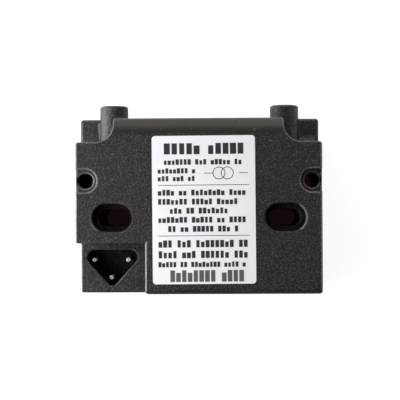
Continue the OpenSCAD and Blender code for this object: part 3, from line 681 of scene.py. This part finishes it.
# %% [markdown]
# ### The print
# Each line of print is a row of words, and each word is a row of blocks as wide as a letter. The widths and
# the word lengths are drawn from a seeded generator, so the label is the same each time. Every block starts
# as a flat grid face, and one extrusion gives all of them their height.

# %% Helpers that print blocks, rules and rings
INK_DEPTH = 0.02 * MM
LETTERS_IN_WORD = (2, 8)
LETTER_WIDTHS, LETTER_HEIGHTS = (0.62, 0.84), (0.78, 1.0, 1.0)
WORD_GAP = 0.9
RING_SEGMENTS = 40
# A grid is twice its size across
UNIT_GRID = 0.5
random.seed(11)


def print_block(shape, x, y, width, height):
    """One flat block, with its middle at x, y from the label's middle in millimetres."""
    size = Matrix.Translation((x * MM, y * MM, 0)) @ Matrix.Diagonal((width * MM, height * MM, 1, 1))
    bmesh.ops.create_grid(shape, x_segments=1, y_segments=1, size=UNIT_GRID, matrix=size)


def print_words(shape, left, right, y, height, pitch):
    """Words from left to right, in blocks of about one pitch each that stand on one line."""
    x = left
    while x + pitch <= right:
        letters = min(random.randint(*LETTERS_IN_WORD), int((right - x) / pitch))
        for _ in range(letters):
            width = pitch * random.uniform(*LETTER_WIDTHS)
            tall = height * random.choice(LETTER_HEIGHTS)
            print_block(shape, x + pitch / 2, y - (height - tall) / 2, width, tall)
            x += pitch
        x += WORD_GAP * pitch


def print_ring(shape, x, y, radius, thickness):
    place = Matrix.Translation((x * MM, y * MM, 0))
    loops = []
    for ring_radius in (radius, radius - thickness):
        made = bmesh.ops.create_circle(
            shape, segments=RING_SEGMENTS, radius=ring_radius * MM, matrix=place
        )
        loops += list({edge for corner in made["verts"] for edge in corner.link_edges})
    bmesh.ops.bridge_loops(shape, edges=loops)


def raise_print(shape, name, material):
    """Extrudes the flat print, turns it with the label and sets it on the film."""
    made = bmesh.ops.extrude_face_region(shape, geom=shape.faces[:], use_keep_orig=True)
    lifted = [item for item in made["geom"] if isinstance(item, bmesh.types.BMVert)]
    bmesh.ops.translate(shape, vec=(0, 0, PRINT_HEIGHT + INK_DEPTH), verts=lifted)
    bmesh.ops.recalc_face_normals(shape, faces=shape.faces)
    foot = Vector((label_middle.x, label_middle.y, label_top - PRINT_HEIGHT - INK_DEPTH))
    place = Matrix.Translation(foot) @ Matrix.Rotation(label_turn, 4, "Z")
    bmesh.ops.transform(shape, matrix=place, verts=shape.verts)
    finish_piece(shape, name, material)


print("print helpers ready")

# %% Print the label
# All places and sizes are in millimetres from the label's middle.
# Each row: its left and right end, the height of its middle, and the height and pitch of its letters
BLACK_ROWS = (
    (-14.6, 15.0, 22.2, 4.0, 2.7),
    (-14.6, 14.8, 17.4, 2.0, 1.45),
    (-16.8, -1.6, 14.2, 1.9, 1.40),
    (-16.8, -1.6, 11.4, 1.9, 1.40),
    (-16.8, 16.0, 6.3, 2.1, 1.55),
    (-16.8, 13.6, 3.0, 2.1, 1.55),
    (-12.6, 10.4, -0.3, 2.1, 1.55),
    (-16.8, 15.4, -3.6, 2.1, 1.55),
    (-13.2, 13.0, -6.9, 2.1, 1.55),
    (-16.8, 16.8, -12.3, 2.6, 1.75),
    (-16.8, 16.8, -16.2, 2.6, 1.75),
    (-16.8, 15.6, -19.8, 1.9, 1.35),
)
GREY_ROWS = ((-12.6, 15.0, -24.0, 4.2, 2.1),)
# Each rule: the place of its middle, its length and its thickness
RULES = (
    (-0.1, 9.0, 33.2, 0.22),
    (-0.1, -9.4, 33.2, 0.22),
    (1.7, 13.3, 3.2, 0.22),
    (14.5, 13.3, 3.2, 0.22),
)
SYMBOL_RINGS = ((5.6, 13.3), (8.6, 13.3))
SYMBOL_RADIUS, SYMBOL_LINE = 2.3, 0.26

black_print = bmesh.new()
for row in BLACK_ROWS:
    print_words(black_print, *row)
for rule in RULES:
    print_block(black_print, *rule)
for x, y in SYMBOL_RINGS:
    print_ring(black_print, x, y, SYMBOL_RADIUS, SYMBOL_LINE)
raise_print(black_print, "label_print_black", black_ink)

grey_print = bmesh.new()
for row in GREY_ROWS:
    print_words(grey_print, *row)
raise_print(grey_print, "label_print_grey", grey_ink)

# %% [markdown]
# ## Turned metal
# The contact pins are turned and tinned, and the high-voltage contacts are turned brass. A lathe leaves
# fine rings round the part's own axis, so a ring wave is centred on each part by a Mapping node. The metal
# stays a plain Metallic of one, while its colour, roughness and bump vary.

# %% Turn the pins and the contacts
# At a scale of one, the bands of a wave texture are this far apart
WAVE_BANDS = math.pi / 10
# Each metal: its dark and its light colour, its roughness and the pitch of its rings
TIN = ((0.80, 0.77, 0.69), (0.95, 0.93, 0.86), 0.42, 0.12 * MM)
BRASS = ((0.42, 0.29, 0.10), (0.78, 0.58, 0.26), 0.30, 0.2 * MM)
SMOOTHER, ROUGHER = 0.06, 0.08


def turned_metal(name, metal, axis, centre):
    dark, light, roughness, ring_pitch = metal
    material, tree, shader = start_material(name, {"Metallic": 1.0})
    place = add_node(tree, "ShaderNodeTexCoord")
    centred = add_node(tree, "ShaderNodeMapping", {"Location": -Vector(centre)})
    rings = add_node(
        tree,
        "ShaderNodeTexWave",
        {"Scale": WAVE_BANDS / ring_pitch, "Distortion": 1.2, "Detail": 1.0},
        wave_type="RINGS",
        rings_direction=axis,
    )
    mottled = place_group(tree, mottle, {"Patches per metre": 700.0, "Grains per metre": 7000.0})
    body = mix_colours(tree, dark, light)
    rough = between(tree, roughness - SMOOTHER, roughness + ROUGHER)
    bump = add_node(tree, "ShaderNodeBump", {"Strength": 0.2, "Distance": 0.01 * MM})
    tree.links.new(place.outputs["Object"], centred.inputs["Vector"])
    tree.links.new(centred.outputs["Vector"], rings.inputs["Vector"])
    patch, fine = (mottled.outputs[label] for label in ("Patch", "Grain"))
    drive(tree, shader, (patch, body), (fine, rough), (rings.outputs["Fac"], bump))
    return material


def dress(node, material):
    for slot in nodes[node].material_slots:
        slot.material = material
    print(f"  {node} wears {material.name}")


for node in ("line_pin", "neutral_pin", "earth_pin"):
    low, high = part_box(node)
    middle = (low + high) / 2
    dress(node, turned_metal(f"tinned_{node}", TIN, "Z", (middle.x, middle.y, 0)))
for node, x in (("left_hv_contact", -TOWER_X), ("right_hv_contact", TOWER_X)):
    dress(node, turned_metal(f"brass_{node}", BRASS, "Y", (x, 0, TOWER_Z)))

# %% [markdown]
# ## Wound wire
# A winding is one solid in the CAD. Its turns are too many to model, and a wave along its axis shows them
# as fine ridges of enamelled copper. The same wave darkens the colour in the grooves between the turns as
# painted shade and lightens it on their crests as a painted highlight. The primary has thick wire, the
# secondary wire as thin as a hair.

# %% Wind the coils
# Painted shade in the grooves between turns and a painted highlight on their crests
COPPER_GROOVE_SHADE, COPPER_CREST_HIGHLIGHT = (0.30, 0.10, 0.035), (0.72, 0.31, 0.12)
COPPER_ROUGHNESS = (0.24, 0.40)
THICK_WIRE, CHOKE_WIRE, HAIR_WIRE = 0.55 * MM, 0.40 * MM, 0.14 * MM


def wound_wire(name, axis, wire_width):
    material, tree, shader = start_material(name, {"Metallic": 1.0})
    place = add_node(tree, "ShaderNodeTexCoord")
    size = {"Scale": WAVE_BANDS / wire_width, "Distortion": 0.4}
    turns = add_node(tree, "ShaderNodeTexWave", size, bands_direction=axis)
    mottled = place_group(tree, mottle, {"Patches per metre": 300.0, "Grains per metre": 5000.0})
    body = mix_colours(tree, COPPER_GROOVE_SHADE, COPPER_CREST_HIGHLIGHT)
    rough = between(tree, *COPPER_ROUGHNESS)
    bump = add_node(tree, "ShaderNodeBump", {"Strength": 0.8, "Distance": wire_width / 3})
    tree.links.new(place.outputs["Object"], turns.inputs["Vector"])
    ridges = turns.outputs["Fac"]
    # The ridges paint the grooves darker and the crests lighter
    drive(tree, shader, (ridges, body), (mottled.outputs["Patch"], rough), (ridges, bump))
    return material


for node, axis, wire_width in (
    ("primary_winding", "X", THICK_WIRE),
    ("left_secondary_winding", "X", HAIR_WIRE),
    ("right_secondary_winding", "X", HAIR_WIRE),
    ("choke_winding", "Z", CHOKE_WIRE),
):
    dress(node, wound_wire(f"copper_{node}", axis, wire_width))

# %% [markdown]
# ## The circuit board and its components
# These parts are embedded in the resin. Each gets the finish of its real counterpart all the same: a woven
# laminate under green solder mask, moulded and dipped component bodies, pressed ferrite and silicone
# sleeves. A table gives the colours, the roughness and the sizes, and one function makes all of the mottled
# finishes.

# %% Lay the laminate
WEAVE_PITCH = 0.6 * MM
BOARD_DARK, BOARD_LIGHT = (0.012, 0.075, 0.026), (0.030, 0.150, 0.055)
BOARD_ROUGHNESS = (0.30, 0.45)

laminate, tree, shader = start_material("board_laminate", {"Coat Weight": 0.4, "Coat Roughness": 0.2})
place = add_node(tree, "ShaderNodeTexCoord")
mottled = place_group(tree, mottle, {"Patches per metre": 160.0, "Grains per metre": 4000.0})
threads = {"Scale": WAVE_BANDS / WEAVE_PITCH, "Distortion": 0.3}
warp, weft = (add_node(tree, "ShaderNodeTexWave", threads, bands_direction=axis) for axis in "XY")
tree.links.new(place.outputs["Object"], warp.inputs["Vector"])
tree.links.new(place.outputs["Object"], weft.inputs["Vector"])
weave = joined(tree, [warp.outputs["Fac"], weft.outputs["Fac"]], "MULTIPLY")
body = mix_colours(tree, BOARD_DARK, BOARD_LIGHT)
rough = between(tree, *BOARD_ROUGHNESS)
bump = add_node(tree, "ShaderNodeBump", {"Strength": 0.3, "Distance": 0.03 * MM})
drive(tree, shader, (weave, body), (mottled.outputs["Patch"], rough), (weave, bump))
dress("circuit_board", laminate)


# %% Helper for the mottled finishes
ROUGHNESS_SPREAD = 0.06
PATCHES_PER_GRAIN = 0.1


def mottled_finish(name, dark, light, roughness, coat, grain_size, relief):
    material, tree, shader = start_material(name, {"Coat Weight": coat, "Coat Roughness": 0.1})
    sizes = {"Patches per metre": PATCHES_PER_GRAIN / grain_size, "Grains per metre": 1 / grain_size}
    mottled = place_group(tree, mottle, sizes)
    body = mix_colours(tree, dark, light)
    rough = between(tree, roughness - ROUGHNESS_SPREAD, roughness + ROUGHNESS_SPREAD)
    bump = add_node(tree, "ShaderNodeBump", {"Strength": 0.4, "Distance": relief})
    fine = mottled.outputs["Grain"]
    drive(tree, shader, (mottled.outputs["Patch"], body), (fine, rough), (fine, bump))
    return material


print("finish helper ready")

# %% Finish the embedded parts
# Each finish: its name, the nodes that wear it, its dark and its light colour, its roughness and coat, and
# its grain size and relief in millimetres
EMBEDDED_FINISHES = (
    (
        "blue_box", ["storage_capacitor"],
        (0.020, 0.095, 0.30), (0.035, 0.140, 0.40), 0.42, 0.0, 0.35, 0.03,
    ),
    (
        "yellow_box", ["suppression_capacitor"],
        (0.50, 0.33, 0.04), (0.62, 0.43, 0.07), 0.42, 0.0, 0.35, 0.03,
    ),
    (
        "dipped_blue", ["varistor"],
        (0.012, 0.09, 0.22), (0.020, 0.13, 0.30), 0.22, 0.5, 0.60, 0.05,
    ),
    (
        "dipped_green", ["fuse_resistor"],
        (0.15, 0.26, 0.18), (0.22, 0.36, 0.25), 0.30, 0.4, 0.50, 0.04,
    ),
    (
        "dipped_beige", ["gate_resistors"],
        (0.48, 0.37, 0.21), (0.60, 0.48, 0.30), 0.30, 0.4, 0.40, 0.03,
    ),
    (
        "moulded_package", ["rectifier_diodes", "thyristor"],
        (0.012, 0.012, 0.014), (0.03, 0.03, 0.034), 0.5, 0.0, 0.20, 0.02,
    ),
    (
        "pressed_ferrite", ["ferrite_rod", "choke_core"],
        (0.025, 0.025, 0.026), (0.075, 0.072, 0.070), 0.62, 0.0, 0.25, 0.03,
    ),
    (
        "natural_former", ["coil_former"],
        (0.52, 0.48, 0.38), (0.64, 0.60, 0.50), 0.40, 0.1, 0.45, 0.02,
    ),
    (
        "red_sleeve", ["left_hv_lead", "right_hv_lead"],
        (0.24, 0.018, 0.014), (0.36, 0.035, 0.025), 0.48, 0.0, 0.50, 0.03,
    ),
    (
        "white_sleeve", ["primary_leads"],
        (0.58, 0.56, 0.50), (0.70, 0.68, 0.62), 0.45, 0.0, 0.40, 0.02,
    ),
    (
        "green_sleeve", ["centre_tap_leads"],
        (0.06, 0.15, 0.03), (0.11, 0.24, 0.06), 0.45, 0.0, 0.40, 0.02,
    ),
)
for name, wearers, dark, light, roughness, coat, grain_size, relief in EMBEDDED_FINISHES:
    finish = mottled_finish(name, dark, light, roughness, coat, grain_size * MM, relief * MM)
    for node in wearers:
        dress(node, finish)

# %% [markdown]
# ## Light
# The photograph was lit by a window close to the left of the case: its left edges and the left halves of
# the towers are bright, and the light falls off towards the lower right. Three lamps stand for that window,
# near, low and high. One at the ceiling and one behind the case light its rounded top edge, and one at the
# right keeps the other sides of the towers apart from the background. The room is dim, and the horizon
# behind the case and all that the camera itself sees of the room are white.

# %% Hang the lamps
COOL_WHITE, WARM_WHITE = (0.98, 0.97, 1.0), (1.0, 0.93, 0.84)
# Each lamp: its name, its place, what it looks at and its size in metres, its radiance and its colour
LAMPS = (
    ("window_near", (-0.17, -0.04, 0.08), (0, -0.04, 0.08), (0.16, 0.14), 10.6, COOL_WHITE),
    ("window_low", (-0.28, 0.07, 0.07), (0, 0.07, 0.07), (0.40, 0.12), 6.4, COOL_WHITE),
    ("window_high", (-0.17, -0.09, 0.38), (0, 0, 0.03), (0.24, 0.18), 2.3, COOL_WHITE),
    ("ceiling", (0.0, 0.30, 0.60), (0, 0, 0.03), (0.50, 0.22), 1.6, COOL_WHITE),
    ("back_wall", (0.0, 0.52, 0.24), (0, 0, 0.05), (0.80, 0.44), 2.7, WARM_WHITE),
    ("right_wall", (0.50, 0.0, 0.20), (0, 0, 0.10), (0.60, 0.36), 1.0, WARM_WHITE),
)


def soft_box(name, place, aim, size, radiance, colour):
    """A rectangular lamp, whose power is worked out from how bright its face is to look."""
    light = bpy.data.lights.new(name, "AREA")
    light.shape = "RECTANGLE"
    light.size, light.size_y = size
    light.energy = radiance * math.pi * size[0] * size[1]
    light.color = colour
    lamp = bpy.data.objects.new(name, light)
    lamp.location = place
    lamp.rotation_euler = (Vector(aim) - Vector(place)).to_track_quat("-Z", "Y").to_euler()
    lamp.visible_camera = False
    bpy.context.scene.collection.objects.link(lamp)
    print(f"{name}: {light.energy:.2f} W")


for lamp in LAMPS:
    soft_box(*lamp)

# %% Paint the room
ROOM_COLOUR, WHITE = (1.0, 0.96, 0.90), (1, 1, 1)
ROOM_DARK, ROOM_BRIGHT, ROOM_SPAN = 0.02, 0.06, (-0.5, 0.5)
HORIZON_TOP = 0.08
BEHIND_STARTS, BEHIND_FULL = -0.4, 0.2
world = bpy.data.worlds.new("studio")
bpy.context.scene.world = world
world.use_nodes = True
sky = world.node_tree
room = sky.nodes["Background"]
heading = add_node(sky, "ShaderNodeTexCoord")
parts = add_node(sky, "ShaderNodeSeparateXYZ")
dim = between(sky, ROOM_DARK, ROOM_BRIGHT, *ROOM_SPAN)
horizon = between(sky, 1.0, 0.0, 0.0, HORIZON_TOP)
behind = between(sky, 0.0, 1.0, BEHIND_STARTS, BEHIND_FULL)
rays = add_node(sky, "ShaderNodeLightPath")
room_colour = mix_colours(sky, ROOM_COLOUR, WHITE)
wire = sky.links.new
wire(heading.outputs["Generated"], parts.inputs[0])
wire(parts.outputs["Y"], dim.inputs["Value"])
wire(parts.outputs["Z"], horizon.inputs["Value"])
wire(parts.outputs["Y"], behind.inputs["Value"])
white_rim = joined(sky, [horizon.outputs["Result"], behind.outputs["Result"]], "MULTIPLY")
white = joined(sky, [white_rim, rays.outputs["Is Camera Ray"]], "MAXIMUM")
wire(joined(sky, [dim.outputs["Result"], white], "MAXIMUM"), room.inputs["Strength"])
wire(white, room_colour.inputs["Factor"])
wire(room_colour.outputs["Result"], room.inputs["Color"])
print("the room is painted")

# %% [markdown]
# ## The floor
# The floor is white paper. Part of its white is its own light to the camera, to glossy surfaces and through
# glass, so the background stays white, and the rest is lit by the lamps and keeps the object's soft shadow.
# Its own light grows with the distance, so that it meets the horizon without a line. Under the case it is
# painted dark brown with a faint glow of its own, a painted shade that shows through the slots and the
# fixing holes.

# %% Lay the floor
FLOOR_REACH = 1.5
FLOOR_DROP = 0.05 * MM
FLOOR_WHITE, FLOOR_GLOW = (0.30, 0.30, 0.30), (0.86, 0.86, 0.86)
# Under the case the floor is painted dark brown with a faint glow: painted shade seen through the slots and
# holes
PAINTED_SHADE_UNDER_CASE, PAINTED_GLOW_UNDER_CASE = (0.16, 0.10, 0.09), (0.0060, 0.0030, 0.0026)
FAR_GLOW, GLOW_START, GLOW_END = (0.99, 0.99, 0.99), 0.15, 0.60
FOOTPRINT_MARGIN = 0.5 * MM

floor_shape = bmesh.new()
bmesh.ops.create_grid(floor_shape, x_segments=1, y_segments=1, size=FLOOR_REACH)
bmesh.ops.translate(floor_shape, vec=(0, 0, -FLOOR_DROP), verts=floor_shape.verts)
floor_mesh = bpy.data.meshes.new("floor")
floor_shape.to_mesh(floor_mesh)
floor_shape.free()

paper, tree, shader = start_material("floor_paper", {"Roughness": 0.9, "Emission Strength": 1.0})
wire = tree.links.new
place = add_node(tree, "ShaderNodeTexCoord")
across = add_node(tree, "ShaderNodeSeparateXYZ")
wire(place.outputs["Object"], across.inputs[0])
beyond_sides = []
for axis, low, high in (("X", cad_low.x, cad_high.x), ("Y", cad_low.y, top_of_case)):
    from_middle = add_node(tree, "ShaderNodeMath", {1: (low + high) / 2}, operation="SUBTRACT")
    distance = add_node(tree, "ShaderNodeMath", operation="ABSOLUTE")
    reach = {1: (high - low) / 2 - FOOTPRINT_MARGIN}
    beyond = add_node(tree, "ShaderNodeMath", reach, operation="GREATER_THAN")
    wire(across.outputs[axis], from_middle.inputs[0])
    wire(from_middle.outputs[0], distance.inputs[0])
    wire(distance.outputs[0], beyond.inputs[0])
    beyond_sides.append(beyond.outputs[0])
outside = joined(tree, beyond_sides, "MAXIMUM")
rays = add_node(tree, "ShaderNodeLightPath")
kinds = [rays.outputs[kind] for kind in ("Is Camera Ray", "Is Glossy Ray", "Is Transmission Ray")]
glowing = joined(tree, [joined(tree, kinds, "MAXIMUM"), outside], "MULTIPLY")
print("the footprint and the rays that see the glow are masked")

# %% Colour the floor
away = add_node(tree, "ShaderNodeVectorMath", operation="LENGTH")
fade = between(tree, 0.0, 1.0, GLOW_START, GLOW_END)
outer_glow = mix_colours(tree, FLOOR_GLOW, FAR_GLOW)
# Inside the footprint both mixes give the painted shade under the case
glow = mix_colours(tree, PAINTED_GLOW_UNDER_CASE, FLOOR_GLOW)
surface_colour = mix_colours(tree, PAINTED_SHADE_UNDER_CASE, FLOOR_WHITE)
wire(place.outputs["Object"], away.inputs[0])
wire(away.outputs["Value"], fade.inputs["Value"])
wire(fade.outputs["Result"], outer_glow.inputs["Factor"])
wire(outer_glow.outputs["Result"], glow.inputs["B"])
wire(glowing, glow.inputs["Factor"])
wire(glow.outputs["Result"], shader.inputs["Emission Color"])
wire(outside, surface_colour.inputs["Factor"])
wire(surface_colour.outputs["Result"], shader.inputs["Base Color"])
floor_mesh.materials.append(paper)
floor = bpy.data.objects.new("floor", floor_mesh)
bpy.context.scene.collection.objects.link(floor)
floor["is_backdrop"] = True
print("floor laid")

# %% Measure the finished scene
low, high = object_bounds()
print("visual box", [round(side / MM, 2) for side in high - low], "mm")
